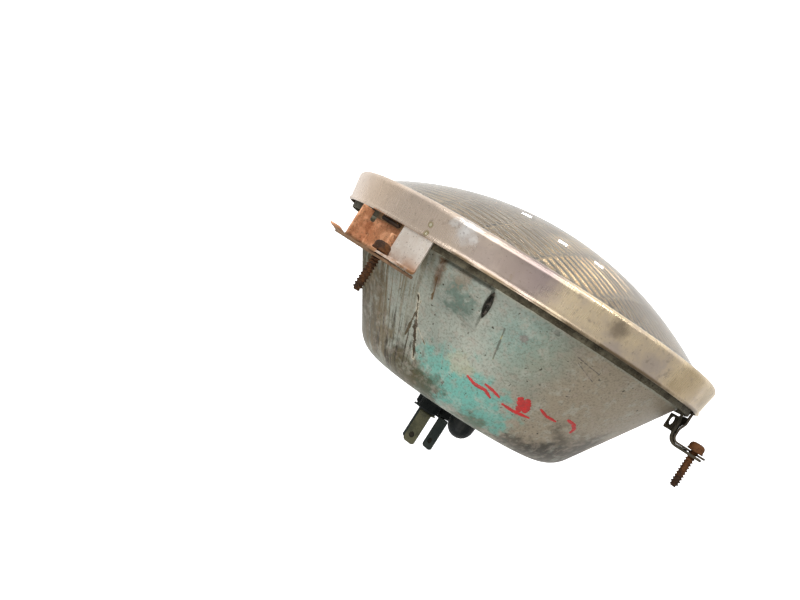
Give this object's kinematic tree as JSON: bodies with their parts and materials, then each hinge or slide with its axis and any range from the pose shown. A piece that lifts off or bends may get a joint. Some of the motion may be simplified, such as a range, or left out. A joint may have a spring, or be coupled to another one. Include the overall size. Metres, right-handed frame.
{
  "type": "headlamp",
  "caption": "Round sealed-beam car headlamp with fluted glass lens, glass reflector, steel retaining ring, slotted straps, rusty mounting brackets, screws and blade terminals.",
  "frame": {"origin": "on the lamp's axis, in the plane of the rear faces of the three mounting feet", "axes": "the lens faces -Y and the terminals point to +Y; +Z is the side with the first seating lug and strap 1"},
  "size_m": [0.1954, 0.1183, 0.1963],
  "materials": {
    "clear_glass": "pressed clear glass with flutes, dusty",
    "aged_glass": "silvered from inside, satin outside with teal and brown stains",
    "black_glass": "dark and smooth",
    "polished_steel": "polished, finely scratched",
    "dull_steel": "dull, stained",
    "rusty_steel": "rusted, with remains of yellow plating",
    "dark_rust": "dark brown rust",
    "black_ferrule": "blackened",
    "dull_brass": "dull, oxidised",
    "nickel_wire": "drawn wire",
    "tungsten": "wound wire"
  },
  "bodies": {
    "lamp": {"lens": "clear_glass", "reflector_bowl": "aged_glass", "exhaust_tip": "black_glass", "mounting_ring": "rusty_steel", "bracket_1": "rusty_steel", "bracket_2": "rusty_steel", "bracket_3": "rusty_steel", "terminal_ferrule_low": "black_ferrule", "terminal_ferrule_ground": "black_ferrule", "terminal_ferrule_high": "black_ferrule", "terminal_blade_low": "dull_brass", "terminal_blade_ground": "dull_brass", "terminal_blade_high": "dull_brass", "filament_high": "tungsten", "filament_low": "tungsten", "lead_wire_high": "nickel_wire", "lead_wire_low": "nickel_wire", "lead_wire_ground": "nickel_wire"},
    "ring": {"retaining_ring": "polished_steel", "strap_1": "dull_steel", "strap_2": "dull_steel", "strap_3": "dull_steel"},
    "screw_1": {"retaining_screw_1": "dark_rust"},
    "screw_2": {"retaining_screw_2": "dark_rust"},
    "screw_3": {"retaining_screw_3": "dark_rust"}
  },
  "joints": [
    {"name": "ring_turn", "type": "hinge", "parent": "lamp", "child": "ring", "pos_m": [0, 0, 0], "axis": [0, -1, 0], "range_deg": [0, 3.3]},
    {"name": "screw_turn_1", "type": "hinge", "parent": "lamp", "child": "screw_1", "pos_m": [0.05461, 0, 0.08175], "axis": [0, 1, 0], "continuous": true},
    {"name": "screw_turn_2", "type": "hinge", "parent": "lamp", "child": "screw_2", "pos_m": [-0.09533, 0, 0.02402], "axis": [0, 1, 0], "continuous": true},
    {"name": "screw_turn_3", "type": "hinge", "parent": "lamp", "child": "screw_3", "pos_m": [0.03324, 0, -0.09252], "axis": [0, 1, 0], "continuous": true}
  ]
}
